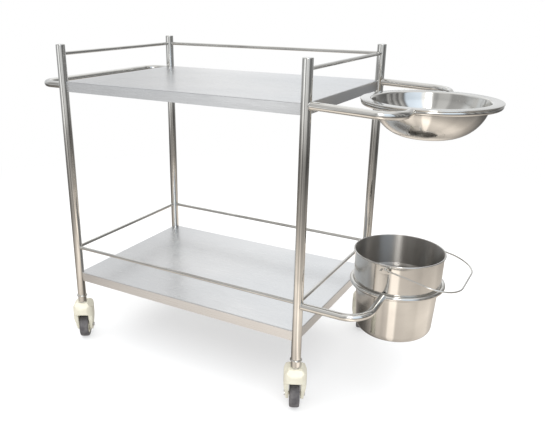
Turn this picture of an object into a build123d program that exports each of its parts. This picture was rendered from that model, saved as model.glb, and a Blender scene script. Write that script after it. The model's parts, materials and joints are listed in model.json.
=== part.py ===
"""Two-shelf stainless steel dressing trolley with a bowl and a bucket carried in side rings.

Millimetres, +Z up, the floor at Z = 0. The push handle is at -X, the bowl and bucket at +X and the
open side, with no top rail, at -Y. The origin is on the floor under the middle of the whole length,
midway between the front and rear posts.
"""
from math import cos, radians, sin
import os

from build123d import *

os.makedirs("parts", exist_ok=True)

# ---- driving dimensions -------------------------------------------------------------------------
POST_SPACING_X = 735.0
POST_SPACING_Y = 500.0
POST_R = 12.7
POST_WALL = 1.5
POST_BOTTOM = 130.0
POST_BEAD_Z = 148.0
POST_BEAD_R = 3.0
POST_TOP = 897.0
CAP_THICKNESS = 3.0
CAP_ROUNDING = 2.0
CAP_SPIGOT = 18.0
CAP_SPIGOT_WALL = 2.0
PRESS_GAP = 0.05

SHELF_FLANGE = 28.0
SHELF_SHEET = 1.0
SHELF_HEM = 8.0
SHELF_BEND_R = 2.0
TOP_SHELF_Z = 801.0
LOWER_SHELF_Z = 226.0
STIFFENER_WIDTH = 60.0
STIFFENER_CROWN = 30.0
STIFFENER_DEPTH = 14.0
STIFFENER_END_GAP = 20.0
STIFFENER_FLARE = 2.0
STIFFENER_Y = 120.0

RAIL_R = 4.75
TOP_RAIL_Z = 875.0
LOWER_RAIL_Z = 308.0

TUBE_R = 9.5
TUBE_WALL = 1.2
HANDLE_Z = 791.0
HANDLE_REACH = 85.0
HANDLE_BEND_R = 40.0
ARM_BEND_R = 60.0
ARM_OVERLAP = 3.0

RING_ROD_R = 6.35
BOWL_RING_R = 158.0
BOWL_RING_Z = 787.0
BOWL_REACH = 211.0
BOWL_ARM_Z = 797.0
BOWL_ELBOW_Z = 787.0
BUCKET_RING_R = 117.5
BUCKET_RING_Z = 312.0
BUCKET_REACH = 172.0
BUCKET_ARM_Z = 302.0
BUCKET_ELBOW_Z = 302.0
LIP_CLEARANCE = 1.5

SEAT_GAP = 0.3
VESSEL_SHEET = 1.0
BOWL_RIM_R = 166.0
BOWL_BEAD_R = 1.7
BOWL_MOUTH_R = 138.1
BOWL_MOUTH_BEND_R = 5.0
BOWL_WALL_R = 134.0
BOWL_WALL_Z = 777.0
BOWL_BASE_R = 42.0
BOWL_BASE_Z = 705.0
BUCKET_BASE_R = 99.0
BUCKET_BASE_Z = 173.0
BUCKET_BASE_BEND_R = 22.0
BUCKET_NECK_R = 107.7
BUCKET_SHOULDER_R = 113.2
BUCKET_SHOULDER_RISE = 5.4
BUCKET_SHOULDER_BEND_R = 2.0
BUCKET_MOUTH_R = 115.0
BUCKET_BEAD_R = 2.2
BUCKET_RIM_Z = 400.0

BAIL_WIRE_R = 2.0
BAIL_HALF_WIDTH = 124.0
BAIL_REACH = 181.0
BAIL_CORNER_R = 75.0
BAIL_HOOK_R = 4.5
BAIL_PIVOT_Z = 390.0
BAIL_DROOP = 12.0
HOOK_TIP = 115.4
EAR_FACE = 119.2
EAR_BOSS_R = 5.0
EAR_BOSS_DEPTH = 6.0
EAR_PLATE_WIDTH = 30.0
EAR_PLATE_HEIGHT = 18.0
EAR_PLATE_DROP = 5.0
EAR_PLATE_SETBACK = 2.7
EAR_CORNER_R = 4.0
STOP_LENGTH = 5.0
STOP_THICKNESS = 2.0
STOP_DISTANCE = 11.0
PIVOT_CLEARANCE = 0.06

WHEEL_R = 37.5
TREAD_WIDTH = 27.0
TREAD_ROUNDING = 4.0
HUB_R = 27.0
HUB_WIDTH = 29.0
HUB_DISH_WIDTH = 25.0
HUB_DISH_DEPTH = 5.0
HUB_RIM = 4.0
HUB_BOSS_R = 9.0
AXLE_R = 4.0
AXLE_HALF_LENGTH = 24.6
AXLE_HEAD_R = 6.5
AXLE_HEAD_HEIGHT = 3.0
AXLE_NUT_HEIGHT = 3.5
CASTER_TRAIL = 14.0
FORK_R = 30.0
FORK_TOP = 126.0
FORK_PLAN_STRETCH = 20.0
SLOT_WIDTH = 31.6
SLOT_TOP = 84.0
SLOT_LENGTH = 110.0
STEM_R = 6.0
STEM_HEAD_R = 9.0
STEM_HEAD_BOTTOM = 82.0
STEM_HEAD_TOP = 85.0
STEM_HEAD_ROOM = 0.6
STEM_SPIGOT = 35.0
BUSH_R = 11.0
BUSH_BOTTOM = 94.0
FRONT_LEFT_YAW = 123.0
FRONT_RIGHT_YAW = 116.0
REAR_LEFT_YAW = 119.0
REAR_RIGHT_YAW = 109.0

# ---- positions worked out from them -------------------------------------------------------------
HANDLE_LEFT = -(HANDLE_REACH + TUBE_R)
BOWL_RIGHT = POST_SPACING_X + BOWL_REACH + BOWL_RIM_R
MIDDLE_X = (HANDLE_LEFT + BOWL_RIGHT) / 2
X_LEFT = -MIDDLE_X
X_RIGHT = POST_SPACING_X - MIDDLE_X
Y_FRONT = -POST_SPACING_Y / 2
Y_REAR = POST_SPACING_Y / 2
SHELF_X = (X_LEFT + X_RIGHT) / 2
BOWL_X = X_RIGHT + BOWL_REACH
BUCKET_X = X_RIGHT + BUCKET_REACH
BOWL_LIP_Z = BOWL_RING_Z + RING_ROD_R + SEAT_GAP
SHOULDER_Z = BUCKET_RING_Z + BUCKET_SHOULDER_RISE
POST_BORE_R = POST_R - POST_WALL

CORNERS = {
    "front_left": (X_LEFT, Y_FRONT),
    "front_right": (X_RIGHT, Y_FRONT),
    "rear_left": (X_LEFT, Y_REAR),
    "rear_right": (X_RIGHT, Y_REAR),
}


def save(part, name):
    """Label a finished piece and write it under its node name."""
    part.label = name
    export_step(part, f"parts/{name}.step")


def cut_posts(radius=POST_R):
    """Take the space of the four posts out of the piece that is being built."""
    with BuildSketch(Plane.XY) as post_circles:
        with Locations(*CORNERS.values()):
            Circle(radius)
    extrude(post_circles.sketch, amount=POST_TOP, mode=Mode.SUBTRACT)


# ---- posts and their caps -----------------------------------------------------------------------
for corner, (x, y) in CORNERS.items():
    with BuildPart() as post:
        with BuildSketch(Plane((x, y, POST_BOTTOM))):
            Circle(POST_R)
        extrude(amount=POST_TOP - POST_BOTTOM)
        with BuildSketch(Plane((x, y, 0), x_dir=(1, 0, 0), z_dir=(0, -1, 0))):
            with Locations((POST_R, POST_BEAD_Z)):
                Circle(POST_BEAD_R)
        revolve(axis=Axis((x, y, 0), (0, 0, 1)))
        with BuildSketch(Plane((x, y, POST_BOTTOM))):
            Circle(POST_BORE_R)
        extrude(amount=POST_TOP - POST_BOTTOM, mode=Mode.SUBTRACT)
    save(post.part, f"post_{corner}")

    with BuildPart() as cap:
        with BuildSketch(Plane((x, y, POST_TOP))):
            Circle(POST_R)
        extrude(amount=CAP_THICKNESS)
        fillet(cap.edges().group_by(Axis.Z)[-1], radius=CAP_ROUNDING)
        with BuildSketch(Plane((x, y, POST_TOP))):
            Circle(POST_BORE_R - PRESS_GAP)
            Circle(POST_BORE_R - CAP_SPIGOT_WALL, mode=Mode.SUBTRACT)
        extrude(amount=-CAP_SPIGOT)
    save(cap.part, f"post_cap_{corner}")


# ---- shelves: a sheet with down-turned, hemmed flanges, notched round the posts ------------------
def make_shelf(name, top_z):
    """Build one shelf and the two hat sections spot-welded under it."""
    inner_x = POST_SPACING_X - 2 * SHELF_SHEET
    inner_y = POST_SPACING_Y - 2 * SHELF_SHEET
    with BuildPart() as shelf:
        with BuildSketch(Plane((SHELF_X, 0, top_z))):
            Rectangle(POST_SPACING_X, POST_SPACING_Y)
        extrude(amount=-SHELF_FLANGE)
        fillet(shelf.edges().group_by(Axis.Z)[-1], radius=SHELF_BEND_R)
        with BuildSketch(Plane((SHELF_X, 0, top_z - SHELF_SHEET))):
            Rectangle(inner_x, inner_y)
        extrude(amount=SHELF_SHEET * 2 - SHELF_FLANGE, mode=Mode.SUBTRACT)
        with BuildSketch(Plane((SHELF_X, 0, top_z - SHELF_FLANGE))):
            Rectangle(inner_x - 2 * SHELF_HEM, inner_y - 2 * SHELF_HEM)
        extrude(amount=SHELF_SHEET, mode=Mode.SUBTRACT)
        cut_posts(POST_R + PRESS_GAP)
    save(shelf.part, name)

    length = POST_SPACING_X - 2 * STIFFENER_END_GAP
    under = top_z - SHELF_SHEET
    half_base = STIFFENER_WIDTH / 2
    half_crown = STIFFENER_CROWN / 2
    for side, y in (("front", -STIFFENER_Y), ("rear", STIFFENER_Y)):
        section = Plane((SHELF_X, y, under), x_dir=(0, 1, 0), z_dir=(1, 0, 0))
        with BuildPart() as stiffener:
            with BuildSketch(section):
                with BuildLine():
                    Polyline(
                        (-half_base, 0),
                        (-half_crown - STIFFENER_FLARE, 0),
                        (-half_crown, SHELF_SHEET - STIFFENER_DEPTH),
                        (half_crown, SHELF_SHEET - STIFFENER_DEPTH),
                        (half_crown + STIFFENER_FLARE, 0),
                        (half_base, 0),
                        (half_base, -SHELF_SHEET),
                        (half_crown + STIFFENER_FLARE + SHELF_SHEET, -SHELF_SHEET),
                        (half_crown + SHELF_SHEET, -STIFFENER_DEPTH),
                        (-half_crown - SHELF_SHEET, -STIFFENER_DEPTH),
                        (-half_crown - STIFFENER_FLARE - SHELF_SHEET, -SHELF_SHEET),
                        (-half_base, -SHELF_SHEET),
                        close=True,
                    )
                make_face()
            extrude(amount=length / 2, both=True)
        save(stiffener.part, f"{name}_stiffener_{side}")


make_shelf("top_shelf", TOP_SHELF_Z)
make_shelf("lower_shelf", LOWER_SHELF_Z)


# ---- guard rails: round rods between neighbouring posts ------------------------------------------
def make_rail(name, start, end, z):
    """Build a straight rod from post to post, coped to their round walls."""
    span = Vector(end[0] - start[0], end[1] - start[1], 0)
    with BuildPart() as rail:
        with BuildSketch(Plane((start[0], start[1], z), z_dir=span)):
            Circle(RAIL_R)
        extrude(amount=span.length)
        cut_posts()
    save(rail.part, name)


SIDES = {
    "left": ("front_left", "rear_left"),
    "rear": ("rear_left", "rear_right"),
    "right": ("front_right", "rear_right"),
    "front": ("front_left", "front_right"),
}
for side, (first, last) in SIDES.items():
    make_rail(f"lower_rail_{side}", CORNERS[first], CORNERS[last], LOWER_RAIL_Z)
    if side != "front":
        make_rail(f"top_rail_{side}", CORNERS[first], CORNERS[last], TOP_RAIL_Z)


# ---- push handle: a U of tube on the two left posts ----------------------------------------------
with BuildPart() as push_handle:
    with BuildLine() as handle_line:
        FilletPolyline(
            (X_LEFT, Y_FRONT, HANDLE_Z),
            (X_LEFT - HANDLE_REACH, Y_FRONT, HANDLE_Z),
            (X_LEFT - HANDLE_REACH, Y_REAR, HANDLE_Z),
            (X_LEFT, Y_REAR, HANDLE_Z),
            radius=HANDLE_BEND_R,
        )
    with BuildSketch(Plane((X_LEFT, Y_FRONT, HANDLE_Z), z_dir=(-1, 0, 0))):
        Circle(TUBE_R)
        Circle(TUBE_R - TUBE_WALL, mode=Mode.SUBTRACT)
    sweep(path=handle_line.wires()[0])
    cut_posts()
save(push_handle.part, "push_handle")


# ---- the two holders: a ring of round rod on a pair of bent arms ---------------------------------
def make_holder(name, centre_x, ring_r, ring_z, arm_z, elbow_z, lip_r):
    """Build a ring and the front and rear arms that join it to the right-hand posts."""
    profile = Plane((centre_x, 0, 0), x_dir=(1, 0, 0), z_dir=(0, -1, 0))
    ring_axis = Axis((centre_x, 0, 0), (0, 0, 1))
    with BuildPart() as ring:
        with BuildSketch(profile):
            with Locations((ring_r, ring_z)):
                Circle(RING_ROD_R)
        revolve(axis=ring_axis)
    save(ring.part, f"{name}_ring")

    for side, y in (("front", Y_FRONT), ("rear", Y_REAR)):
        inward = 1 if y < 0 else -1
        ring_edge = -inward * (ring_r + RING_ROD_R)
        start = Vector(X_RIGHT, y, arm_z)
        elbow = Vector(centre_x, y, elbow_z)
        finish = Vector(centre_x, ring_edge + inward * ARM_OVERLAP, ring_z)
        with BuildPart() as arm:
            with BuildLine() as arm_line:
                FilletPolyline(start, elbow, finish, radius=ARM_BEND_R)
            with BuildSketch(Plane(start, z_dir=elbow - start)):
                Circle(TUBE_R)
                Circle(TUBE_R - TUBE_WALL, mode=Mode.SUBTRACT)
            sweep(path=arm_line.wires()[0])
            cut_posts()
            with BuildSketch(profile):
                with Locations((ring_r, ring_z)):
                    Circle(RING_ROD_R)
            revolve(axis=ring_axis, mode=Mode.SUBTRACT)
            with BuildSketch(Plane((centre_x, 0, ring_z + LIP_CLEARANCE))):
                Circle(lip_r)
            extrude(amount=TUBE_R * 2, mode=Mode.SUBTRACT)
        save(arm.part, f"{name}_arm_{side}")


make_holder(
    "bowl",
    BOWL_X,
    BOWL_RING_R,
    BOWL_RING_Z,
    BOWL_ARM_Z,
    BOWL_ELBOW_Z,
    BOWL_RIM_R + 1,
)
make_holder(
    "bucket",
    BUCKET_X,
    BUCKET_RING_R,
    BUCKET_RING_Z,
    BUCKET_ARM_Z,
    BUCKET_ELBOW_Z,
    BUCKET_RING_R,
)


# ---- bowl: rounded body, wide lip that sits on its ring, rolled edge -----------------------------
with BuildPart() as bowl:
    with BuildSketch(Plane((BOWL_X, 0, 0), x_dir=(1, 0, 0), z_dir=(0, -1, 0))):
        with BuildLine():
            Line((0, BOWL_BASE_Z), (BOWL_BASE_R, BOWL_BASE_Z))
            TangentArc((BOWL_BASE_R, BOWL_BASE_Z), (BOWL_WALL_R, BOWL_WALL_Z), tangent=(1, 0))
            FilletPolyline(
                (BOWL_WALL_R, BOWL_WALL_Z),
                (BOWL_MOUTH_R, BOWL_LIP_Z),
                (BOWL_RIM_R - BOWL_BEAD_R, BOWL_LIP_Z),
                radius=BOWL_MOUTH_BEND_R,
            )
            offset(amount=VESSEL_SHEET, side=Side.LEFT)
        make_face()
        with Locations((BOWL_RIM_R - BOWL_BEAD_R, BOWL_LIP_Z + VESSEL_SHEET / 2)):
            Circle(BOWL_BEAD_R)
    revolve(axis=Axis((BOWL_X, 0, 0), (0, 0, 1)))
save(bowl.part, "bowl")

# ---- bucket: tapered body, shoulder that sits on its ring, rolled edge ---------------------------
with BuildPart() as bucket:
    with BuildSketch(Plane((BUCKET_X, 0, 0), x_dir=(1, 0, 0), z_dir=(0, -1, 0))):
        with BuildLine():
            FilletPolyline(
                (0, BUCKET_BASE_Z),
                (BUCKET_BASE_R, BUCKET_BASE_Z),
                (BUCKET_NECK_R, BUCKET_RING_Z),
                (BUCKET_SHOULDER_R, SHOULDER_Z),
                (BUCKET_MOUTH_R, BUCKET_RIM_Z - BUCKET_BEAD_R),
                radius=(BUCKET_BASE_BEND_R, BUCKET_SHOULDER_BEND_R, BUCKET_SHOULDER_BEND_R),
            )
            offset(amount=VESSEL_SHEET, side=Side.LEFT)
        make_face()
        with Locations((BUCKET_MOUTH_R + BUCKET_BEAD_R / 2, BUCKET_RIM_Z - BUCKET_BEAD_R)):
            Circle(BUCKET_BEAD_R)
    revolve(axis=Axis((BUCKET_X, 0, 0), (0, 0, 1)))
save(bucket.part, "bucket")

# ---- bucket ears: welded plates with a pivot hole and two stops for the bail ---------------------
DROOP_X = cos(radians(BAIL_DROOP))
DROOP_Z = sin(radians(BAIL_DROOP))
PIVOT = (BUCKET_X, 0, BAIL_PIVOT_Z)

for side, out in (("front", -1), ("rear", 1)):
    face = Plane((BUCKET_X, out * EAR_FACE, BAIL_PIVOT_Z), x_dir=(1, 0, 0), z_dir=(0, -1, 0))
    wire_reach = BAIL_HALF_WIDTH + BAIL_WIRE_R
    with BuildPart() as ear:
        with BuildSketch(face):
            Circle(EAR_BOSS_R)
        extrude(amount=out * EAR_BOSS_DEPTH)
        with BuildSketch(face.offset(out * EAR_PLATE_SETBACK)):
            with Locations((0, -EAR_PLATE_DROP)):
                RectangleRounded(EAR_PLATE_WIDTH, EAR_PLATE_HEIGHT, EAR_CORNER_R)
        extrude(amount=out * (EAR_BOSS_DEPTH - EAR_PLATE_SETBACK))
        for way in (-1, 1):
            stop = Plane(PIVOT, x_dir=(way * DROOP_X, 0, -DROOP_Z), z_dir=(0, -1, 0))
            drop = BAIL_WIRE_R + SEAT_GAP + STOP_THICKNESS / 2
            with BuildSketch(stop.offset(-out * wire_reach)):
                with Locations((STOP_DISTANCE, -way * drop)):
                    Rectangle(STOP_LENGTH, STOP_THICKNESS)
            extrude(amount=out * (wire_reach - EAR_FACE + EAR_PLATE_DROP))
        with BuildSketch(face):
            Circle(BAIL_WIRE_R + PIVOT_CLEARANCE)
        extrude(amount=EAR_BOSS_DEPTH, both=True, mode=Mode.SUBTRACT)
        with BuildSketch(Plane((BUCKET_X, 0, BAIL_PIVOT_Z - EAR_PLATE_HEIGHT))):
            Circle(BUCKET_MOUTH_R - VESSEL_SHEET / 2)
        extrude(amount=2 * EAR_PLATE_HEIGHT, mode=Mode.SUBTRACT)
        add(bucket.part, mode=Mode.SUBTRACT)
    save(ear.part, f"bucket_ear_{side}")

# ---- bucket bail: one bent wire, hooked into both ears, lying towards +X on its stops ------------
with BuildPart() as bail:
    bail_plane = Plane(PIVOT, x_dir=(0, 1, 0), z_dir=(DROOP_Z, 0, DROOP_X))
    with BuildLine(bail_plane) as bail_line:
        FilletPolyline(
            (-HOOK_TIP, 0),
            (-BAIL_HALF_WIDTH, 0),
            (-BAIL_HALF_WIDTH, -BAIL_REACH),
            (BAIL_HALF_WIDTH, -BAIL_REACH),
            (BAIL_HALF_WIDTH, 0),
            (HOOK_TIP, 0),
            radius=(BAIL_HOOK_R, BAIL_CORNER_R, BAIL_CORNER_R, BAIL_HOOK_R),
        )
    with BuildSketch(Plane((BUCKET_X, -HOOK_TIP, BAIL_PIVOT_Z), z_dir=(0, -1, 0))):
        Circle(BAIL_WIRE_R)
    sweep(path=bail_line.wires()[0])
save(bail.part, "bucket_bail")


# ---- casters: stem in the post, swivelling hooded fork, wheel on an axle bolt --------------------
# (along the trail, height) from the top's rear edge round to its front edge, and the corner radii
FORK_SIDE = (
    (24, FORK_TOP),
    (41, 110),
    (42, 84),
    (29, 28),
    (14, 20),
    (0, 30),
    (-18, SLOT_TOP),
    (-29, 91),
    (-30, 112),
    (-17, FORK_TOP),
)
FORK_SIDE_RADII = (10, 10, 8, 9, 6, 9, 3, 2, 8, 8)
# (half width, height) from the middle of the top down to the middle between the cheek ends
FORK_FRONT = (
    (0, FORK_TOP),
    (17, FORK_TOP),
    (FORK_R, 111),
    (FORK_R, 78),
    (24.6, 44),
    (23.4, 17),
    (0, 17),
)
FORK_FRONT_RADII = (8, 8, 10, 10, 3)


def make_caster(corner, yaw):
    """Build the six pieces of one caster, its wheel trailing from the post in direction yaw."""
    x, y = CORNERS[corner]
    along = Vector(cos(radians(yaw)), sin(radians(yaw)), 0)
    across = Vector(-along.Y, along.X, 0)
    middle = Vector(x, y, 0)
    axle_point = middle + along * CASTER_TRAIL + Vector(0, 0, WHEEL_R)
    side_view = Plane(middle, x_dir=along, z_dir=across * -1)
    front_view = Plane(middle, x_dir=across, z_dir=along)
    wheel_view = Plane(axle_point, x_dir=along, z_dir=across * -1)
    plan_view = Plane(middle + along * (CASTER_TRAIL / 2), x_dir=along, z_dir=(0, 0, 1))

    # stem: head under the fork, shaft, shoulder under the post, and the spigot inside it
    stem_steps = (
        (STEM_HEAD_BOTTOM, STEM_HEAD_TOP, STEM_HEAD_R),
        (STEM_HEAD_TOP, FORK_TOP + 1, STEM_R),
        (FORK_TOP + 1, POST_BOTTOM, POST_R),
        (POST_BOTTOM, POST_BOTTOM + STEM_SPIGOT, POST_BORE_R - PRESS_GAP),
    )
    with BuildPart() as stem:
        for low, high, radius in stem_steps:
            with BuildSketch(Plane((x, y, low))):
                Circle(radius)
            extrude(amount=high - low)
    save(stem.part, f"caster_stem_{corner}")

    with BuildPart() as bush:
        with BuildSketch(Plane((x, y, BUSH_BOTTOM))):
            Circle(BUSH_R)
            Circle(STEM_R + PIVOT_CLEARANCE, mode=Mode.SUBTRACT)
        extrude(amount=FORK_TOP - BUSH_BOTTOM)
    save(bush.part, f"swivel_bush_{corner}")

    # fork: the shape common to its side view, front view and plan, less the wheel's slot
    recess_top = STEM_HEAD_TOP + STEM_HEAD_ROOM
    bores = (
        (SLOT_TOP - 1, recess_top, STEM_HEAD_R + STEM_HEAD_ROOM),
        (recess_top, BUSH_BOTTOM, STEM_R + STEM_HEAD_ROOM),
        (BUSH_BOTTOM, FORK_TOP, BUSH_R),
    )
    with BuildPart() as fork:
        with BuildSketch(side_view):
            with BuildLine():
                FilletPolyline(*FORK_SIDE, radius=FORK_SIDE_RADII, close=True)
            make_face()
        extrude(amount=FORK_R, both=True)
        with BuildSketch(front_view):
            with BuildLine():
                FilletPolyline(*FORK_FRONT, radius=FORK_FRONT_RADII)
                mirror(about=Plane.YZ)
            make_face()
        extrude(amount=POST_BOTTOM, both=True, mode=Mode.INTERSECT)
        with BuildSketch(plan_view):
            SlotCenterToCenter(FORK_PLAN_STRETCH, 2 * FORK_R)
        extrude(amount=FORK_TOP, mode=Mode.INTERSECT)
        with BuildSketch(side_view):
            with Locations((CASTER_TRAIL, SLOT_TOP / 2)):
                Rectangle(SLOT_LENGTH, SLOT_TOP)
        extrude(amount=SLOT_WIDTH / 2, both=True, mode=Mode.SUBTRACT)
        with BuildSketch(wheel_view):
            Circle(AXLE_R + PIVOT_CLEARANCE)
        extrude(amount=FORK_R, both=True, mode=Mode.SUBTRACT)
        for low, high, radius in bores:
            with BuildSketch(Plane((x, y, low))):
                Circle(radius)
            extrude(amount=high - low, mode=Mode.SUBTRACT)
    save(fork.part, f"caster_fork_{corner}")

    # axle bolt with a domed head and a hexagon nut
    with BuildPart() as axle:
        with BuildSketch(wheel_view):
            Circle(AXLE_R)
        extrude(amount=AXLE_HALF_LENGTH, both=True)
        with BuildSketch(wheel_view.offset(AXLE_HALF_LENGTH)):
            Circle(AXLE_HEAD_R)
        extrude(amount=AXLE_HEAD_HEIGHT)
        head_end = axle.faces().sort_by(Axis(axle_point, wheel_view.z_dir))[-1]
        fillet(head_end.edges(), radius=AXLE_HEAD_HEIGHT - 1)
        with BuildSketch(wheel_view.offset(-AXLE_HALF_LENGTH)):
            RegularPolygon(AXLE_HEAD_R, 6)
        extrude(amount=-AXLE_NUT_HEIGHT)
    save(axle.part, f"wheel_axle_{corner}")

    with BuildPart() as hub:
        with BuildSketch(wheel_view):
            Circle(HUB_R)
        extrude(amount=HUB_DISH_WIDTH / 2, both=True)
        for way in (-1, 1):
            with BuildSketch(wheel_view.offset(way * HUB_DISH_WIDTH / 2)):
                Circle(HUB_R - HUB_RIM)
                Circle(HUB_BOSS_R, mode=Mode.SUBTRACT)
            extrude(amount=-way * HUB_DISH_DEPTH, mode=Mode.SUBTRACT)
        with BuildSketch(wheel_view):
            Circle(HUB_BOSS_R)
        extrude(amount=HUB_WIDTH / 2, both=True)
        with BuildSketch(wheel_view):
            Circle(AXLE_R + PIVOT_CLEARANCE)
        extrude(amount=HUB_WIDTH, both=True, mode=Mode.SUBTRACT)
    save(hub.part, f"wheel_hub_{corner}")

    with BuildPart() as tyre:
        with BuildSketch(wheel_view):
            Circle(WHEEL_R)
            Circle(HUB_R, mode=Mode.SUBTRACT)
        extrude(amount=TREAD_WIDTH / 2, both=True)
        outer_edges = tyre.edges().filter_by(GeomType.CIRCLE).sort_by(SortBy.RADIUS)[-2:]
        fillet(outer_edges, radius=TREAD_ROUNDING)
    save(tyre.part, f"tyre_{corner}")


make_caster("front_left", FRONT_LEFT_YAW)
make_caster("front_right", FRONT_RIGHT_YAW)
make_caster("rear_left", REAR_LEFT_YAW)
make_caster("rear_right", REAR_RIGHT_YAW)
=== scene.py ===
"""Studio scene for a stainless steel dressing trolley with a bowl and a bucket in side rings.

Metres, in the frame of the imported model: +X towards the bowl, +Y to the rear, +Z up.
"""
import json
import math

import bmesh
import bpy
from mathutils import Matrix, Vector


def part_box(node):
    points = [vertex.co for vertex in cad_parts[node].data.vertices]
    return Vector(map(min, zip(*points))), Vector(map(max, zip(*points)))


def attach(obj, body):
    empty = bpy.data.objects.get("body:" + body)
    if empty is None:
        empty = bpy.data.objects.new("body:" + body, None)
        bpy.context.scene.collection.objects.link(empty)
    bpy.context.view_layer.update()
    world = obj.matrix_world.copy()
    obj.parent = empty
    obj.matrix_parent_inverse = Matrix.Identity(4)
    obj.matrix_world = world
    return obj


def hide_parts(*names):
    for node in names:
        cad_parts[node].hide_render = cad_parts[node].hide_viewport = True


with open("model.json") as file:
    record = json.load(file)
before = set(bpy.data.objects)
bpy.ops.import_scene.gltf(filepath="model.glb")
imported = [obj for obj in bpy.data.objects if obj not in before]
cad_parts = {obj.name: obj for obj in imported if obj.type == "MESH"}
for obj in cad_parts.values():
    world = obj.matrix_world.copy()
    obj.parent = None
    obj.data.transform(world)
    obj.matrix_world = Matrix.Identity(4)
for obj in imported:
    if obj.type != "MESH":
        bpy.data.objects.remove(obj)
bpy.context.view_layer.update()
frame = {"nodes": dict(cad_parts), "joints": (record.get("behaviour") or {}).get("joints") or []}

MM = 0.001
UP = Vector((0, 0, 1))
CORNERS = ("front_left", "front_right", "rear_left", "rear_right")
NODES = frame["nodes"]
JOINTS = {joint["name"]: joint for joint in frame["joints"]}


# ---- places read from the frame ------------------------------------------------------------------
def middle(node):
    """The middle of a CAD node's box."""
    low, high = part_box(node)
    return (low + high) / 2


def floor_level():
    """The height of the surface that the tyres stand on."""
    return min(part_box(f"tyre_{corner}")[0].z for corner in CORNERS)


# ---- node helpers --------------------------------------------------------------------------------
def grey(value, warmth=0.0):
    """A grey, or a warm one with more red and less blue."""
    return (value * (1 + warmth), value, value * (1 - warmth))


def ramp_node(nodes, stops):
    """A colour ramp node through (position, (r, g, b)) stops."""
    ramp = nodes.new("ShaderNodeValToRGB")
    elements = ramp.color_ramp.elements
    while len(elements) < len(stops):
        elements.new(0.5)
    for element, (position, colour) in zip(elements, sorted(stops)):
        element.position = position
        element.color = (*colour, 1)
    return ramp


def range_node(nodes, source, target, kind="LINEAR"):
    """A node that maps the source range onto the target range."""
    node = nodes.new("ShaderNodeMapRange")
    node.interpolation_type = kind
    node.inputs["From Min"].default_value, node.inputs["From Max"].default_value = source
    node.inputs["To Min"].default_value, node.inputs["To Max"].default_value = target
    return node


def mix_node(nodes, links, factor, first, second, blend="MIX"):
    """Mix two colours; the factor and each colour may be an output socket or a constant."""
    mix = nodes.new("ShaderNodeMix")
    mix.data_type = "RGBA"
    mix.blend_type = blend
    for socket, value in (("Factor", factor), ("A", first), ("B", second)):
        if isinstance(value, bpy.types.NodeSocket):
            links.new(value, mix.inputs[socket])
        elif socket == "Factor":
            mix.inputs[socket].default_value = value
        else:
            mix.inputs[socket].default_value = (*value, 1)
    return mix.outputs["Result"]


# ---- material building blocks --------------------------------------------------------------------
# the part of 0..1 that a noise texture mostly keeps to
NOISE_RANGE = (0.3, 0.7)
# Anisotropic Rotation counts in whole turns
QUARTER_TURN = 0.25


class Surface:
    """A procedural material: constants sit on the shader, varying values are linked to nodes."""

    def __init__(self, name, **sockets):
        self.material = bpy.data.materials.new(name)
        self.material.use_nodes = True
        self.nodes = self.material.node_tree.nodes
        self.links = self.material.node_tree.links
        self.shader = self.nodes["Principled BSDF"]
        for socket, value in sockets.items():
            self.shader.inputs[socket].default_value = value
        self.normal = None

    def link(self, source, target):
        self.links.new(source, target)

    def place(self, scale=(1, 1, 1)):
        """Object coordinates, stretched by scale."""
        coordinates = self.nodes.new("ShaderNodeTexCoord")
        mapping = self.nodes.new("ShaderNodeMapping")
        mapping.inputs["Scale"].default_value = scale
        self.link(coordinates.outputs["Object"], mapping.inputs["Vector"])
        return mapping.outputs["Vector"]

    def noise(self, scale, detail=2.0, roughness=0.5, stretch=(1, 1, 1)):
        texture = self.nodes.new("ShaderNodeTexNoise")
        texture.inputs["Scale"].default_value = scale
        texture.inputs["Detail"].default_value = detail
        texture.inputs["Roughness"].default_value = roughness
        self.link(self.place(stretch), texture.inputs["Vector"])
        return texture.outputs["Fac"]

    def spread(self, value, low, high):
        """Map a noise value from the range it mostly keeps to onto low..high."""
        scaled = range_node(self.nodes, NOISE_RANGE, (low, high))
        self.link(value, scaled.inputs["Value"])
        return scaled.outputs["Result"]

    def colours(self, value, *stops):
        """A colour ramp through (position, (r, g, b)) stops."""
        ramp = ramp_node(self.nodes, stops)
        self.link(value, ramp.inputs["Fac"])
        return ramp.outputs["Color"]

    def set(self, socket, value):
        self.link(value, self.shader.inputs[socket])

    def bump(self, height, distance):
        """Add one layer of bump, distance metres deep, over the layers already there."""
        layer = self.nodes.new("ShaderNodeBump")
        layer.inputs["Distance"].default_value = distance
        self.link(height, layer.inputs["Height"])
        if self.normal is not None:
            self.link(self.normal, layer.inputs["Normal"])
        self.normal = layer.outputs["Normal"]
        self.link(self.normal, self.shader.inputs["Normal"])


STEEL_DARK = (0.58, 0.57, 0.545)
STEEL_LIGHT = (0.68, 0.67, 0.64)
SATIN_DARK = (0.62, 0.63, 0.64)
SATIN_LIGHT = (0.72, 0.72, 0.72)
RUBBER_DARK = (0.068, 0.063, 0.066)
RUBBER_DUSTY = (0.155, 0.146, 0.146)


def polished_steel(name, stretch, roughness=(0.05, 0.13), light=STEEL_LIGHT):
    """Polished tube or rod: faint drawing lines along its length and slight unevenness."""
    surface = Surface(name, Metallic=1.0)
    cloud = surface.noise(scale=9, detail=3)
    surface.set("Base Color", surface.colours(cloud, (0.35, STEEL_DARK), (0.6, light)))
    lines = surface.noise(scale=1, detail=4, roughness=0.6, stretch=stretch)
    surface.set("Roughness", surface.spread(lines, *roughness))
    surface.bump(lines, 0.03 * MM)
    surface.bump(surface.noise(scale=14, detail=1), 0.35 * MM)
    return surface.material


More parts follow.
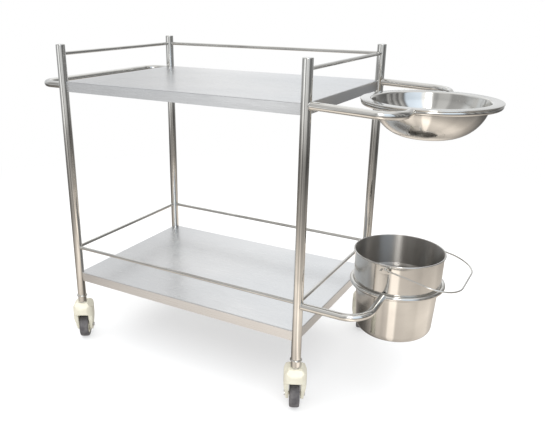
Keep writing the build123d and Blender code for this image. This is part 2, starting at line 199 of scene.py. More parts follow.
def satin_steel(name):
    """Satin sheet: brushed along its length, with the faint waves of thin sheet metal."""
    surface = Surface(name, Metallic=1.0)
    cloud = surface.noise(scale=3.2, detail=4, roughness=0.6, stretch=(0.5, 1, 1))
    surface.set("Base Color", surface.colours(cloud, (0.3, SATIN_DARK), (0.7, SATIN_LIGHT)))
    grain = surface.noise(scale=1, detail=5, roughness=0.7, stretch=(18, 950, 950))
    surface.set("Roughness", surface.spread(grain, 0.24, 0.36))
    surface.bump(grain, 0.03 * MM)
    surface.bump(surface.noise(scale=4.5, detail=1), 1.6 * MM)
    return surface.material


def spun_steel(name, roughness, anisotropy=0.95, dark=STEEL_DARK, light=STEEL_LIGHT):
    """Spun vessel: polished round its own upright axis, so that reflections spread up and down."""
    surface = Surface(
        name, **{"Metallic": 1.0, "Anisotropic": anisotropy, "Anisotropic Rotation": QUARTER_TURN})
    cloud = surface.noise(scale=7, detail=3)
    surface.set("Base Color", surface.colours(cloud, (0.35, dark), (0.62, light)))
    lines = surface.noise(scale=1, detail=4, roughness=0.6, stretch=(4, 4, 500))
    surface.set("Roughness", surface.spread(lines, *roughness))
    around = surface.nodes.new("ShaderNodeTangent")
    around.direction_type = "RADIAL"
    around.axis = "Z"
    surface.set("Tangent", around.outputs["Tangent"])
    surface.bump(lines, 0.01 * MM)
    surface.bump(surface.noise(scale=9, detail=1), 0.2 * MM)
    return surface.material


def moulded_plastic(name, dark, light):
    """Injection-moulded plastic: a fine spark-eroded grain and slightly uneven colour."""
    surface = Surface(name, IOR=1.5)
    cloud = surface.noise(scale=45, detail=4, roughness=0.6)
    surface.set("Base Color", surface.colours(cloud, (0.3, dark), (0.7, light)))
    grain = surface.noise(scale=1500, detail=2)
    surface.set("Roughness", surface.spread(grain, 0.36, 0.5))
    surface.bump(grain, 0.04 * MM)
    return surface.material


def tread_rubber(name):
    """Dark grey rubber, dusty where it rolls."""
    surface = Surface(name)
    dust = surface.noise(scale=60, detail=5, roughness=0.65)
    surface.set("Base Color", surface.colours(dust, (0.35, RUBBER_DARK), (0.72, RUBBER_DUSTY)))
    grain = surface.noise(scale=900, detail=3)
    surface.set("Roughness", surface.spread(grain, 0.55, 0.8))
    surface.bump(grain, 0.1 * MM)
    surface.bump(dust, 0.2 * MM)
    return surface.material


# ---- mesh building blocks ------------------------------------------------------------------------
SHARP_DEGREES = 50


def mesh_object(name, points, faces, material):
    """A smooth-shaded mesh with outward normals and creases at its sharp edges."""
    mesh = bpy.data.meshes.new(name)
    mesh.from_pydata([tuple(point) for point in points], [], faces)
    mesh.materials.append(material)
    work = bmesh.new()
    work.from_mesh(mesh)
    bmesh.ops.recalc_face_normals(work, faces=work.faces)
    work.to_mesh(mesh)
    work.free()
    mesh.shade_smooth()
    mesh.set_sharp_from_angle(angle=math.radians(SHARP_DEGREES))
    piece = bpy.data.objects.new(name, mesh)
    bpy.context.scene.collection.objects.link(piece)
    return piece


def lathe(name, profile, material, place, segments, closed=False):
    """Turn a profile of (radius, height) points round the Z axis of place."""
    points = []
    rings = []
    for radius, height in profile:
        if radius == 0:
            rings.append([len(points)] * segments)
            points.append(place @ Vector((0, 0, height)))
            continue
        rings.append(list(range(len(points), len(points) + segments)))
        for step in range(segments):
            turn = 2 * math.pi * step / segments
            spoke = (radius * math.cos(turn), radius * math.sin(turn), height)
            points.append(place @ Vector(spoke))
    faces = []
    pairs = list(zip(rings, rings[1:]))
    if closed:
        pairs.append((rings[-1], rings[0]))
    for below, above in pairs:
        for step in range(segments):
            after = (step + 1) % segments
            corners = (below[step], below[after], above[after], above[step])
            faces.append(tuple(dict.fromkeys(corners)))
    return mesh_object(name, points, faces, material)


def arc(centre_r, centre_z, radius, start, end, steps):
    """Points of an arc in a lathe profile, from start to end degrees."""
    result = []
    for step in range(steps + 1):
        turn = math.radians(start + (end - start) * step / steps)
        result.append((centre_r + radius * math.cos(turn), centre_z + radius * math.sin(turn)))
    return result


def rounded(corners, radii, steps):
    """A polyline with its inner corners rounded to the given radii."""
    result = [tuple(corners[0])]
    for index, radius in enumerate(radii, start=1):
        before, corner, after = (Vector(corners[i]) for i in (index - 1, index, index + 1))
        into = (before - corner).normalized()
        out = (after - corner).normalized()
        half = into.angle(out) / 2
        reach = radius / math.tan(half)
        centre = corner + (into + out).normalized() * radius / math.sin(half)
        first = corner + into * reach - centre
        last = corner + out * reach - centre
        for step in range(steps + 1):
            spoke = first.lerp(last, step / steps).normalized() * radius
            result.append(tuple(centre + spoke))
    result.append(tuple(corners[-1]))
    return result


def shell(path, thickness):
    """The closed profile of a sheet of that thickness along a path that starts on the axis."""
    outside, inside = [], []
    for index, point in enumerate(path):
        before = Vector(path[max(index - 1, 0)])
        after = Vector(path[min(index + 1, len(path) - 1)])
        along = (after - before).normalized()
        across = Vector((-along.y, along.x)) * thickness / 2
        here = Vector(point)
        outside.append(tuple(here - across))
        inside.append(tuple(here + across))
    outside[0] = (0.0, outside[0][1])
    inside[0] = (0.0, inside[0][1])
    end = Vector(path[-1])
    along = (end - Vector(path[-2])).normalized() * thickness / 2
    return outside + [tuple(end + along)] + inside[::-1]


# ---- materials -----------------------------------------------------------------------------------
BOWL_AXIS = middle("bowl_ring")
BUCKET_AXIS = middle("bucket_ring")

upright_steel = polished_steel("steel_upright", (600, 600, 6))
long_steel = polished_steel("steel_long_rod", (6, 600, 600))
cross_steel = polished_steel("steel_cross_rod", (600, 6, 600))
bent_steel = polished_steel("steel_bent_tube", (40, 40, 300))
cap_steel = polished_steel("steel_cap", (120, 120, 120), (0.1, 0.2))
shelf_steel = satin_steel("steel_shelf")
bowl_steel = spun_steel("steel_bowl", (0.08, 0.14))
bucket_steel = spun_steel("steel_bucket", (0.11, 0.16))
# the inside is the same steel with a rougher finish; its darker colour is painted shade inside the
# bucket
bucket_inside_shaded_steel = spun_steel(
    "steel_bucket_inside_painted_shade", (0.35, 0.42), anisotropy=1.0,
    dark=(0.42, 0.40, 0.37), light=(0.54, 0.52, 0.49))
wire_steel = polished_steel("steel_wire", (200, 200, 200), (0.08, 0.18))
weld_steel = polished_steel("steel_weld", (300, 300, 300), (0.22, 0.4), light=(0.58, 0.57, 0.55))
zinc_steel = polished_steel("steel_zinc", (150, 150, 150), (0.2, 0.35), light=(0.56, 0.56, 0.55))
cream_plastic = moulded_plastic("plastic_cream", (0.65, 0.61, 0.49), (0.72, 0.69, 0.57))
hub_plastic = moulded_plastic("plastic_hub", (0.66, 0.62, 0.5), (0.76, 0.72, 0.6))
bush_plastic = moulded_plastic("plastic_bush", (0.75, 0.75, 0.72), (0.82, 0.82, 0.8))
rubber = tread_rubber("rubber_tread")


def paint(material, *names):
    """Give CAD nodes one material."""
    for name in names:
        mesh = NODES[name].data
        mesh.materials.clear()
        mesh.materials.append(material)


paint(upright_steel, *(f"post_{corner}" for corner in CORNERS))
paint(cap_steel, *(f"post_cap_{corner}" for corner in CORNERS))
paint(long_steel, "top_rail_rear", "lower_rail_rear", "lower_rail_front")
paint(cross_steel, "top_rail_left", "top_rail_right", "lower_rail_left", "lower_rail_right")
paint(bent_steel, "push_handle", "bowl_ring", "bucket_ring")
paint(bent_steel, "bowl_arm_front", "bowl_arm_rear", "bucket_arm_front", "bucket_arm_rear")
for shelf in ("top_shelf", "lower_shelf"):
    paint(shelf_steel, shelf, f"{shelf}_stiffener_front", f"{shelf}_stiffener_rear")
paint(bowl_steel, "bowl")
paint(bucket_steel, "bucket")
paint(wire_steel, "bucket_ear_front", "bucket_ear_rear", "bucket_bail")
for corner in CORNERS:
    paint(zinc_steel, f"caster_stem_{corner}", f"wheel_axle_{corner}")
    paint(cream_plastic, f"caster_fork_{corner}")
    paint(bush_plastic, f"swivel_bush_{corner}")
    paint(hub_plastic, f"wheel_hub_{corner}")
    paint(rubber, f"tyre_{corner}")


# ---- bowl and bucket: turned shells with rolled edges --------------------------------------------
VESSEL_SHEET = 1.0 * MM
VESSEL_SEGMENTS = 128
EDGE_STEPS = 14
BOWL_BASE_R = 42 * MM
BOWL_WALL_R = 134.5 * MM
BOWL_WALL_RISE = 72 * MM
BOWL_WALL_STEPS = 28
BOWL_MOUTH_BEND_R = 5 * MM
BOWL_MOUTH_STEPS = 8
BOWL_EDGE_R = 1.2 * MM
BOWL_LIP_DROP = 1.7 * MM
BUCKET_BASE_R = 98.5 * MM
BUCKET_NECK_R = 107.2 * MM
BUCKET_SHOULDER_R = 112.7 * MM
BUCKET_SHOULDER_RISE = 5.4 * MM
BUCKET_MOUTH_R = 114.4 * MM
BUCKET_EDGE_R = 1.7 * MM
BUCKET_BENDS = (21.5 * MM, 2.5 * MM, 2 * MM)
BUCKET_BEND_STEPS = 10


def upright_at(axis):
    """The place of a shell that stands on the given axis."""
    return Matrix.Translation((axis.x, axis.y, 0))


def make_bowl():
    """The bowl's true section: flat base, round wall, wide lip and rolled edge."""
    low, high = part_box("bowl")
    base = low.z + VESSEL_SHEET / 2
    run = BOWL_WALL_R - BOWL_BASE_R
    wall_bend_r = (run * run + BOWL_WALL_RISE * BOWL_WALL_RISE) / (2 * BOWL_WALL_RISE)
    sweep = math.degrees(math.asin(run / wall_bend_r))
    lip = high.z - BOWL_LIP_DROP
    edge = (high.x - low.x) / 2 - BOWL_EDGE_R - VESSEL_SHEET / 2
    path = [(0, base)]
    path += arc(BOWL_BASE_R, base + wall_bend_r, wall_bend_r, -90, -90 + sweep, BOWL_WALL_STEPS)
    wall = path[-1]
    mouth = (wall[0] + (lip - wall[1]) / math.tan(math.radians(sweep)), lip)
    path += rounded((wall, mouth, (edge, lip)), (BOWL_MOUTH_BEND_R,), BOWL_MOUTH_STEPS)[1:-1]
    path += arc(edge, lip - BOWL_EDGE_R, BOWL_EDGE_R, 90, -170, EDGE_STEPS)
    section = shell(path, VESSEL_SHEET)
    piece = lathe("bowl_spun", section, bowl_steel, upright_at(BOWL_AXIS), VESSEL_SEGMENTS)
    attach(piece, "bowl")
    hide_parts("bowl")


def make_bucket():
    """The bucket's true section: rounded base, tapered wall, seating shoulder and rolled edge."""
    low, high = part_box("bucket")
    base = low.z + VESSEL_SHEET / 2
    rim = high.z - BUCKET_EDGE_R - VESSEL_SHEET / 2
    shoulder = BUCKET_AXIS.z
    corners = (
        (0, base),
        (BUCKET_BASE_R, base),
        (BUCKET_NECK_R, shoulder),
        (BUCKET_SHOULDER_R, shoulder + BUCKET_SHOULDER_RISE),
        (BUCKET_MOUTH_R, rim),
    )
    path = rounded(corners, BUCKET_BENDS, BUCKET_BEND_STEPS)
    path += arc(BUCKET_MOUTH_R + BUCKET_EDGE_R, rim, BUCKET_EDGE_R, 180, -100, EDGE_STEPS)[1:]
    section = shell(path, VESSEL_SHEET)
    piece = lathe("bucket_spun", section, bucket_steel, upright_at(BUCKET_AXIS), VESSEL_SEGMENTS)
    # inward faces and the top of the base take the darker steel: painted shade inside the bucket
    piece.data.materials.append(bucket_inside_shaded_steel)
    for polygon in piece.data.polygons:
        spoke = Vector((polygon.center.x - BUCKET_AXIS.x, polygon.center.y - BUCKET_AXIS.y, 0))
        faces_in = polygon.normal.dot(spoke.normalized()) < -0.2
        on_base = polygon.normal.z > 0.5 and polygon.center.z < shoulder
        if faces_in or on_base:
            polygon.material_index = 1
    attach(piece, "bucket")
    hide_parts("bucket")


make_bowl()
make_bucket()


# ---- wheels: crowned tread with a moulding line, dished hub --------------------------------------
def both_sides(half):
    """A closed lathe profile from the (radius, half width) points of one side."""
    return half + [(radius, -height) for radius, height in reversed(half)]


def to_metres(points):
    """Profile points given in millimetres."""
    return [(radius * MM, height * MM) for radius, height in points]


WHEEL_SEGMENTS = 96
TYRE_SIDE = to_metres(
    (
        (27.0, 12.6),
        (27.8, 13.1),
        (29.5, 13.3),
        (30.2, 12.9),
        (30.9, 13.3),
        (32.6, 13.4),
        (34.4, 12.9),
        (35.8, 11.8),
        (36.6, 10.2),
        (37.1, 7.6),
        (37.4, 4.0),
        (37.5, 0.5),
    )
)
HUB_SIDE = to_metres(
    (
        (4.3, 13.6),
        (4.9, 14.3),
        (7.6, 14.4),
        (8.7, 13.9),
        (9.1, 12.8),
        (9.7, 9.0),
        (10.6, 7.9),
        (12.2, 7.5),
        (20.4, 7.5),
        (22.0, 8.0),
        (22.9, 9.4),
        (23.3, 11.6),
        (23.9, 12.3),
        (25.0, 12.5),
        (26.4, 12.4),
        (26.95, 11.9),
    )
)


def facing(origin, axis):
    """The place of a lathe profile that starts at origin and turns round axis."""
    turn = Vector(axis).to_track_quat("Z", "Y").to_matrix().to_4x4()
    return Matrix.Translation(Vector(origin)) @ turn


def make_wheel(corner):
    """The tyre and the hub, turned round their axle."""
    joint = JOINTS[f"roll_{corner}"]
    place = facing(joint["pos_m"], joint["axis"])
    section = both_sides(TYRE_SIDE)
    tread = lathe(f"tyre_tread_{corner}", section, rubber, place, WHEEL_SEGMENTS, closed=True)
    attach(tread, f"wheel_{corner}")
    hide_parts(f"tyre_{corner}")
    section = both_sides(HUB_SIDE)
    hub = lathe(f"hub_moulded_{corner}", section, hub_plastic, place, WHEEL_SEGMENTS, closed=True)
    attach(hub, f"wheel_{corner}")
    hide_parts(f"wheel_hub_{corner}")


# ---- caster hoods: the CAD shape with its edges softened as they leave the mould -----------------
FORK_VOXEL = 1.1 * MM
FORK_SMOOTH_FACTOR = 0.5
FORK_SMOOTH_ROUNDS = 6
SAME_POINT = 0.001 * MM


def make_fork(corner):
    """The hood, voxel remeshed and smoothed."""
    mesh = NODES[f"caster_fork_{corner}"].data.copy()
    work = bmesh.new()
    work.from_mesh(mesh)
    bmesh.ops.remove_doubles(work, verts=work.verts, dist=SAME_POINT)
    work.to_mesh(mesh)
    work.free()
    rough = bpy.data.objects.new(f"fork_rough_{corner}", mesh)
    bpy.context.scene.collection.objects.link(rough)
    remesh = rough.modifiers.new("remesh", "REMESH")
    remesh.mode = "VOXEL"
    remesh.voxel_size = FORK_VOXEL
    smooth = rough.modifiers.new("smooth", "SMOOTH")
    smooth.factor = FORK_SMOOTH_FACTOR
    smooth.iterations = FORK_SMOOTH_ROUNDS
    evaluated = rough.evaluated_get(bpy.context.evaluated_depsgraph_get())
    soft = bpy.data.meshes.new_from_object(evaluated)
    bpy.data.objects.remove(rough)
    bpy.data.meshes.remove(mesh)
    soft.name = f"fork_moulded_{corner}"
    soft.materials.clear()
    soft.materials.append(cream_plastic)
    soft.shade_smooth()
    piece = bpy.data.objects.new(soft.name, soft)
    bpy.context.scene.collection.objects.link(piece)
    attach(piece, f"fork_{corner}")
    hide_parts(f"caster_fork_{corner}")


for corner in CORNERS:
    make_wheel(corner)
    make_fork(corner)


# ---- weld beads where tubes, rods and sheets meet ------------------------------------------------
FRAME_BODY = "trolley_frame"
BEAD_SIDES = 8
LOOP_STEPS = 72
LOOP_RIPPLES = 16
LINE_STEPS = 40
LINE_RIPPLES = 14
RIPPLE = 0.14
ROD_BEAD_R = 0.9 * MM
TUBE_BEAD_R = 1.2 * MM
SHELF_BEAD_R = 1.0 * MM
# a shelf's bead starts above the flange's lower edge and is shorter than the flange
SHELF_BEAD_FOOT = 1 * MM
SHELF_BEAD_SHORT = 5 * MM
HOLDER_TUBE_R = 9.5 * MM
# (radius, height) of an arm's closed end, along the arm from the ring's middle line
ARM_END = to_metres(
    (
        (0, -5),
        (9.5, -5),
        (9.5, -1.4),
        (9.1, 0.0),
        (8.2, 1.2),
        (6.6, 2.0),
        (0, 2.6),
    )
)
ARM_END_SEGMENTS = 48
ARM_END_TOP = 1.4 * MM
# the loop round an arm's end: its half width, and its other measures in radii of the ring's rod
RING_LOOP_HALF_WIDTH = 9.2 * MM
RING_LOOP_DEPTH = 0.55
RING_LOOP_HEIGHT = 0.95
RING_LOOP_LOWEST = -0.8


def bead(path, radius, closed=True, ripples=LOOP_RIPPLES):
    """The points and faces of a rippled bead along a path; an open bead tapers at its ends."""
    count = len(path)
    centre = sum(path, Vector()) / count
    points, faces = [], []
    for index, point in enumerate(path):
        if closed:
            along = (path[(index + 1) % count] - path[index - 1]).normalized()
            out = point - centre
            taper = 1
        else:
            along = (path[-1] - path[0]).normalized()
            out = along.orthogonal()
            taper = math.sin(math.pi * (index + 0.4) / (count - 0.2)) ** 0.4
        out = (out - along * out.dot(along)).normalized()
        side = along.cross(out)
        swell = radius * taper * (1 + RIPPLE * math.sin(2 * math.pi * ripples * index / count))
        for step in range(BEAD_SIDES):
            turn = 2 * math.pi * step / BEAD_SIDES
            points.append(point + (out * math.cos(turn) + side * math.sin(turn)) * swell)
    for index in range(count if closed else count - 1):
        for step in range(BEAD_SIDES):
            after = (step + 1) % BEAD_SIDES
            here, there = index * BEAD_SIDES, (index + 1) % count * BEAD_SIDES
            faces.append((here + step, here + after, there + after, there + step))
    if not closed:
        last = (count - 1) * BEAD_SIDES
        faces.append(tuple(range(BEAD_SIDES)))
        faces.append(tuple(range(last, last + BEAD_SIDES)))
    return points, faces


def weld(name, beads):
    """One piece made of several beads."""
    points, faces = [], []
    for more_points, more_faces in beads:
        faces += [tuple(index + len(points) for index in face) for face in more_faces]
        points += more_points
    piece = mesh_object(name, points, faces, weld_steel)
    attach(piece, FRAME_BODY)


def at_post(corner, height, heading, radius, size):
    """The bead where a round member that leaves a post along heading meets its wall."""
    low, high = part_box(f"post_cap_{corner}")
    post_r = (high.x - low.x) / 2
    start = Vector(((low.x + high.x) / 2, (low.y + high.y) / 2, height))
    along = Vector(heading).normalized()
    across = along.cross(UP).normalized()
    over = across.cross(along)
    flat = along.xy
    loop = []
    for step in range(LOOP_STEPS):
        turn = 2 * math.pi * step / LOOP_STEPS
        rim = (across * math.cos(turn) + over * math.sin(turn)) * radius
        lean = rim.xy.dot(flat)
        room = lean * lean - flat.length_squared * (rim.xy.length_squared - post_r * post_r)
        loop.append(start + rim + along * ((math.sqrt(room) - lean) / flat.length_squared))
    return bead(loop, size)


def weld_rails():
    """The beads at both ends of every guard rail; the top has no front rail."""
    beads = []
    for level, sides in (
        ("top", ("left", "rear", "right")),
        ("lower", ("left", "rear", "right", "front")),
    ):
        for side in sides:
            low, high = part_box(f"{level}_rail_{side}")
            height = (low.z + high.z) / 2
            radius = (high.z - low.z) / 2
            if side in ("front", "rear"):
                ends = ((f"{side}_left", (1, 0, 0)), (f"{side}_right", (-1, 0, 0)))
            else:
                ends = ((f"front_{side}", (0, 1, 0)), (f"rear_{side}", (0, -1, 0)))
            for corner, heading in ends:
                beads.append(at_post(corner, height, heading, radius, ROD_BEAD_R))
    weld("weld_rails", beads)


def weld_handle():
    """The beads where the push handle leaves the left posts."""
    height = middle("push_handle").z
    beads = []
    for corner in ("front_left", "rear_left"):
        beads.append(at_post(corner, height, (-1, 0, 0), HOLDER_TUBE_R, TUBE_BEAD_R))
    weld("weld_handle", beads)


def ring_loop(ring, ring_r, rod_r, inward):
    """The loop on a ring's outer surface, where an arm's closed end meets it."""
    rod_middle_r = ring_r - rod_r
    loop = []
    for step in range(LOOP_STEPS):
        turn = 2 * math.pi * step / LOOP_STEPS
        swing = math.cos(turn) * RING_LOOP_HALF_WIDTH / (rod_middle_r + rod_r * RING_LOOP_DEPTH)
        rise = max(RING_LOOP_LOWEST, math.sin(turn)) * rod_r * RING_LOOP_HEIGHT
        reach = rod_middle_r + math.sqrt(rod_r * rod_r - rise * rise)
        spoke = (reach * math.sin(swing), -inward * reach * math.cos(swing), rise)
        loop.append(ring + Vector(spoke))
    return loop


def weld_holder(name, drops):
    """The beads at both ends of a holder's arms, and the arms' closed ends under its ring.

    An arm that drops leaves its post higher than it meets the ring.
    """
    ring = middle(f"{name}_ring")
    ring_low, ring_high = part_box(f"{name}_ring")
    rod_r = (ring_high.z - ring_low.z) / 2
    ring_r = (ring_high.x - ring_low.x) / 2
    beads = []
    for side in ("front", "rear"):
        low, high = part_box(f"{name}_arm_{side}")
        elbow = low.z + HOLDER_TUBE_R
        start = high.z - HOLDER_TUBE_R if drops else elbow
        post = middle(f"post_cap_{side}_right")
        heading = (ring.x - post.x, 0, elbow - start)
        beads.append(at_post(f"{side}_right", start, heading, HOLDER_TUBE_R, TUBE_BEAD_R))
        inward = 1 if side == "front" else -1
        place = facing((ring.x, ring.y - inward * ring_r, ring.z), (0, inward, 0))
        end = lathe(f"{name}_arm_end_{side}", ARM_END, weld_steel, place, ARM_END_SEGMENTS)
        for vertex in end.data.vertices:
            vertex.co.z = min(vertex.co.z, ring.z + ARM_END_TOP)
        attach(end, FRAME_BODY)
        beads.append(bead(ring_loop(ring, ring_r, rod_r, inward), ROD_BEAD_R))
    weld(f"weld_{name}_holder", beads)


def weld_shelf(name):
    """Short upright beads where the shelf's flanges meet the posts."""
    low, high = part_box(name)
    beads = []
    for corner in CORNERS:
        cap_low, cap_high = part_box(f"post_cap_{corner}")
        post_r = (cap_high.x - cap_low.x) / 2
        post = (cap_low + cap_high) / 2
        to_x = math.copysign(post_r, (low.x + high.x) / 2 - post.x)
        to_y = math.copysign(post_r, -post.y)
        for shift in ((to_x, 0), (0, to_y)):
            foot = Vector((post.x + shift[0], post.y + shift[1], low.z + SHELF_BEAD_FOOT))
            rise = high.z - low.z - SHELF_BEAD_SHORT
            line = [foot + UP * rise * step / LINE_STEPS for step in range(LINE_STEPS + 1)]
            beads.append(bead(line, SHELF_BEAD_R, closed=False, ripples=LINE_RIPPLES))
    weld(f"weld_{name}", beads)


weld_rails()
weld_handle()
weld_holder("bowl", drops=True)
weld_holder("bucket", drops=False)
weld_shelf("top_shelf")
weld_shelf("lower_shelf")


# ---- studio --------------------------------------------------------------------------------------
# Bearings are in degrees from the front, -Y, turning towards +X. The camera sees a plain pale floor
# and a white backdrop; diffuse light sees the pale floor too. The floor's rings and sectors below
# glow for glossy
# rays only: a painted reflection of the room around the set. The walls are the room that polished
# steel mirrors.
def on_ramp(bearing):
    """Where a bearing lies on a radial gradient, which runs from -X round by the front."""
    return ((bearing + 90) % 360) / 360


def bearing_stops(colours):
    """Ramp stops from (bearing, colour) pairs."""
    return [(on_ramp(bearing), colour) for bearing, colour in colours]


FLOOR_HALF_WIDTH = 30.0
FLOOR_COLOUR = (0.93, 0.93, 0.93, 1)
# strength of the floor's glow for glossy rays: a painted reflection, not a lamp
FLOOR_REFLECTION_GLOW = 1.85
# the floor brightens into the backdrop between these distances, from and to these shares
HAZE_DISTANCES = (0.9, 2.6)
HAZE_SHARES = (0.55, 1.0)
# (distance from the trolley's middle, colour); the dark middle is a painted shadow under the
# trolley
FLOOR_RINGS = (
    (0.0, grey(0.20, 0.08)),
    (0.20, grey(0.26, 0.08)),
    (0.34, grey(0.41, 0.10)),
    (0.50, grey(0.70, 0.10)),
    (0.85, grey(0.94, 0.10)),
    (1.0, grey(0.80, 0.10)),
    (1.15, grey(0.60, 0.10)),
    (1.5, grey(0.40, 0.08)),
    (2.1, grey(0.30, 0.05)),
    (3.0, grey(0.40, 0.03)),
    (4.5, grey(0.90, 0.0)),
    (8.0, grey(1.0, -0.02)),
)
# (bearing from the bucket, brightness) of the floor's painted reflection, close by and further out
NEAR_SECTORS = (
    (-89, 0.26),
    (-68, 0.36),
    (-60, 0.52),
    (-46, 0.66),
    (-38, 0.68),
    (-30, 0.76),
    (-22, 0.70),
    (-14, 0.54),
    (-1, 0.62),
    (3, 1.0),
    (18, 1.0),
    (23, 0.56),
    (50, 0.58),
    (74, 0.52),
    (84, 0.58),
    (122, 0.62),
    (134, 0.50),
    (168, 0.34),
    (185, 0.60),
    (225, 0.60),
    (250, 0.40),
    (269, 0.28),
)
FAR_SECTORS = (
    (-89, 0.20),
    (-70, 0.22),
    (-56, 0.40),
    (-45, 0.46),
    (-37, 0.62),
    (-33, 1.0),
    (-26, 1.0),
    (-20, 0.32),
    (-4, 0.26),
    (6, 0.50),
    (14, 0.60),
    (26, 0.40),
    (36, 0.48),
    (50, 0.46),
    (60, 0.20),
    (76, 0.12),
    (108, 0.10),
    (122, 0.30),
    (134, 0.14),
    (168, 0.16),
    (185, 0.56),
    (225, 0.56),
    (250, 0.30),
    (269, 0.20),
)
# the distances between which the near sectors give way to the far ones
SECTOR_CHANGE = (1.5, 2.8)


def make_floor():
    """A pale floor; for glossy rays it glows with a painted reflection that falls off into the room
    around the set.
    """
    surface = Surface("studio_floor", **{"Roughness": 0.85, "Base Color": FLOOR_COLOUR})
    nodes, links = surface.nodes, surface.links
    position = nodes.new("ShaderNodeNewGeometry").outputs["Position"]
    distance = nodes.new("ShaderNodeVectorMath")
    distance.operation = "LENGTH"
    links.new(position, distance.inputs[0])
    last = FLOOR_RINGS[-1][0]
    reach = range_node(nodes, (0, last), (0, 1))
    links.new(distance.outputs["Value"], reach.inputs["Value"])
    rings = ramp_node(nodes, [(radius / last, colour) for radius, colour in FLOOR_RINGS])
    links.new(reach.outputs["Result"], rings.inputs["Fac"])
    around = nodes.new("ShaderNodeVectorMath")
    around.operation = "SUBTRACT"
    around.inputs[1].default_value = (BUCKET_AXIS.x, BUCKET_AXIS.y, 0)
    links.new(position, around.inputs[0])
    turn = nodes.new("ShaderNodeTexGradient")
    turn.gradient_type = "RADIAL"
    links.new(around.outputs["Vector"], turn.inputs["Vector"])
    ends = []
    for sectors in (NEAR_SECTORS, FAR_SECTORS):
        greys = [(bearing, grey(value)) for bearing, value in sectors]
        ramp = ramp_node(nodes, bearing_stops(greys))
        links.new(turn.outputs["Fac"], ramp.inputs["Fac"])
        ends.append(ramp.outputs["Color"])
    change = range_node(nodes, SECTOR_CHANGE, (0, 1))
    links.new(distance.outputs["Value"], change.inputs["Value"])
    sectors = mix_node(nodes, links, change.outputs["Result"], *ends)
    seen = mix_node(nodes, links, 1.0, rings.outputs["Color"], sectors, "MULTIPLY")
    # the glow that glossy rays see instead of the floor: a painted reflection
    glow = nodes.new("ShaderNodeEmission")
    glow.inputs["Strength"].default_value = FLOOR_REFLECTION_GLOW
    links.new(seen, glow.inputs["Color"])
    paper = nodes.new("ShaderNodeEmission")
    haze = range_node(nodes, HAZE_DISTANCES, HAZE_SHARES, "SMOOTHSTEP")
    links.new(distance.outputs["Value"], haze.inputs["Value"])
    pale = nodes.new("ShaderNodeMixShader")
    links.new(haze.outputs["Result"], pale.inputs["Fac"])
    links.new(surface.shader.outputs["BSDF"], pale.inputs[1])
    links.new(paper.outputs["Emission"], pale.inputs[2])
    path = nodes.new("ShaderNodeLightPath")
    mix = nodes.new("ShaderNodeMixShader")
    links.new(path.outputs["Is Glossy Ray"], mix.inputs["Fac"])
    links.new(pale.outputs["Shader"], mix.inputs[1])
    links.new(glow.outputs["Emission"], mix.inputs[2])
    links.new(mix.outputs["Shader"], nodes["Material Output"].inputs["Surface"])
    level = floor_level()
    signs = ((-1, -1), (1, -1), (1, 1), (-1, 1))
    corners = [(x * FLOOR_HALF_WIDTH, y * FLOOR_HALF_WIDTH, level) for x, y in signs]
    mesh_object("studio_floor", corners, [(0, 1, 2, 3)], surface.material)


WORLD_STRENGTH = 1.6
CEILING = grey(0.66)
# the walls give way to the ceiling between these heights on the unit sphere
CEILING_RISE = (0.70, 0.93)
# (bearing, colour)
WALLS = (
    (-89, grey(0.58)),
    (-74, grey(0.60, -0.03)),
    (-60, grey(0.34)),
    (-32, grey(0.30)),
    (-24, grey(0.48)),
    (-5, grey(0.46)),
    (1, grey(0.34)),
    (8, grey(0.40)),
    (12, grey(1.0)),
    (31, grey(1.0)),
    (36, (0.78, 0.88, 1.0)),
    (68, (0.66, 0.75, 0.86)),
    (74, grey(0.14)),
    (83, grey(0.44)),
    (88, grey(0.10)),
    (97, grey(0.40)),
    (103, grey(0.12)),
    (113, grey(0.42)),
    (119, grey(0.13)),
    (140, grey(0.16)),
    (172, grey(0.54)),
    (203, grey(0.78, -0.02)),
    (212, grey(0.84)),
    (220, grey(0.60)),
    (240, grey(0.62, -0.03)),
    (262, grey(0.66, -0.04)),
    (269, grey(0.58)),
)
# (height on the unit sphere, share of the walls' brightness)
SKIRTING = (
    (0.0, grey(0.76)),
    (0.07, grey(0.80)),
    (0.14, grey(0.85)),
    (0.30, grey(0.74)),
    (0.38, grey(0.88)),
    (0.43, grey(1.0)),
    (1.0, grey(1.0)),
)


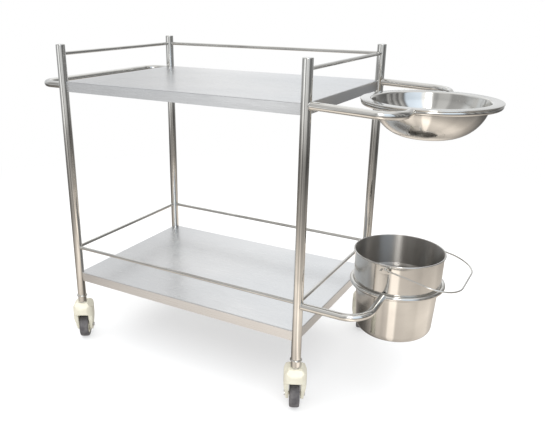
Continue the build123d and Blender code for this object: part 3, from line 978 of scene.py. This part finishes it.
def make_world():
    """The room in reflections: uneven walls with a window to the front, and an even ceiling."""
    world = bpy.data.worlds.new("studio_world")
    bpy.context.scene.world = world
    world.use_nodes = True
    nodes, links = world.node_tree.nodes, world.node_tree.links
    nodes.clear()
    direction = nodes.new("ShaderNodeTexCoord").outputs["Generated"]
    split = nodes.new("ShaderNodeSeparateXYZ")
    links.new(direction, split.inputs[0])
    turn = nodes.new("ShaderNodeTexGradient")
    turn.gradient_type = "RADIAL"
    links.new(direction, turn.inputs["Vector"])
    walls = ramp_node(nodes, bearing_stops(WALLS))
    links.new(turn.outputs["Fac"], walls.inputs["Fac"])
    foot = ramp_node(nodes, SKIRTING)
    links.new(split.outputs["Z"], foot.inputs["Fac"])
    footed = mix_node(nodes, links, 1.0, walls.outputs["Color"], foot.outputs["Color"], "MULTIPLY")
    rise = range_node(nodes, CEILING_RISE, (0, 1), "SMOOTHSTEP")
    links.new(split.outputs["Z"], rise.inputs["Value"])
    room = mix_node(nodes, links, rise.outputs["Result"], footed, CEILING)
    background = nodes.new("ShaderNodeBackground")
    background.inputs["Strength"].default_value = WORLD_STRENGTH
    links.new(room, background.inputs["Color"])
    plain = nodes.new("ShaderNodeBackground")
    plain.inputs["Color"].default_value = (1, 1, 1, 1)
    path = nodes.new("ShaderNodeLightPath")
    choose = nodes.new("ShaderNodeMixShader")
    links.new(path.outputs["Is Camera Ray"], choose.inputs["Fac"])
    links.new(background.outputs["Background"], choose.inputs[1])
    links.new(plain.outputs["Background"], choose.inputs[2])
    output = nodes.new("ShaderNodeOutputWorld")
    links.new(choose.outputs["Shader"], output.inputs["Surface"])


def make_softbox(name, place, target, size, power, mirrored):
    """An area light aimed at target; mirrored says whether reflections show it."""
    light = bpy.data.lights.new(name, "AREA")
    light.shape = "RECTANGLE"
    light.size, light.size_y = size
    light.energy = power
    lamp = bpy.data.objects.new(name, light)
    lamp.location = place
    lamp.visible_glossy = mirrored
    lamp.rotation_euler = (Vector(target) - Vector(place)).to_track_quat("-Z", "Y").to_euler()
    bpy.context.scene.collection.objects.link(lamp)


CAMERA_PLACE = (0.8104, -1.5502, 1.0217)
CAMERA_HEADING = (-0.4751, 0.8115, -0.3402)
CAMERA_ROLL = 0.004
CAMERA_LENS = 41.93
CAMERA_SENSOR = 36
CAMERA_SHIFT = (0.0654, 0.0217)
CAMERA_REACH = 200


def make_camera():
    """A camera at the height of a standing photographer's chest, front right of the trolley."""
    camera_data = bpy.data.cameras.new("camera")
    camera_data.lens = CAMERA_LENS
    camera_data.sensor_width = CAMERA_SENSOR
    camera_data.shift_x, camera_data.shift_y = CAMERA_SHIFT
    camera_data.clip_end = CAMERA_REACH
    camera = bpy.data.objects.new("camera", camera_data)
    camera.location = CAMERA_PLACE
    turn = Vector(CAMERA_HEADING).to_track_quat("-Z", "Y").to_matrix().to_4x4()
    camera.rotation_euler = (turn @ Matrix.Rotation(CAMERA_ROLL, 4, "Z")).to_euler()
    bpy.context.scene.collection.objects.link(camera)
    bpy.context.scene.camera = camera


make_floor()
make_world()
make_softbox(
    "softbox_top", place=(0, -0.5, 3.5), target=(0, 0, 0),
    size=(6, 6), power=230, mirrored=False)
make_softbox(
    "softbox_front", place=(1.45, -2.9, 2.7), target=(0.4, 0, 0.4),
    size=(0.7, 1.8), power=24, mirrored=True)
make_camera()
bpy.context.scene.view_settings.view_transform = "Standard"
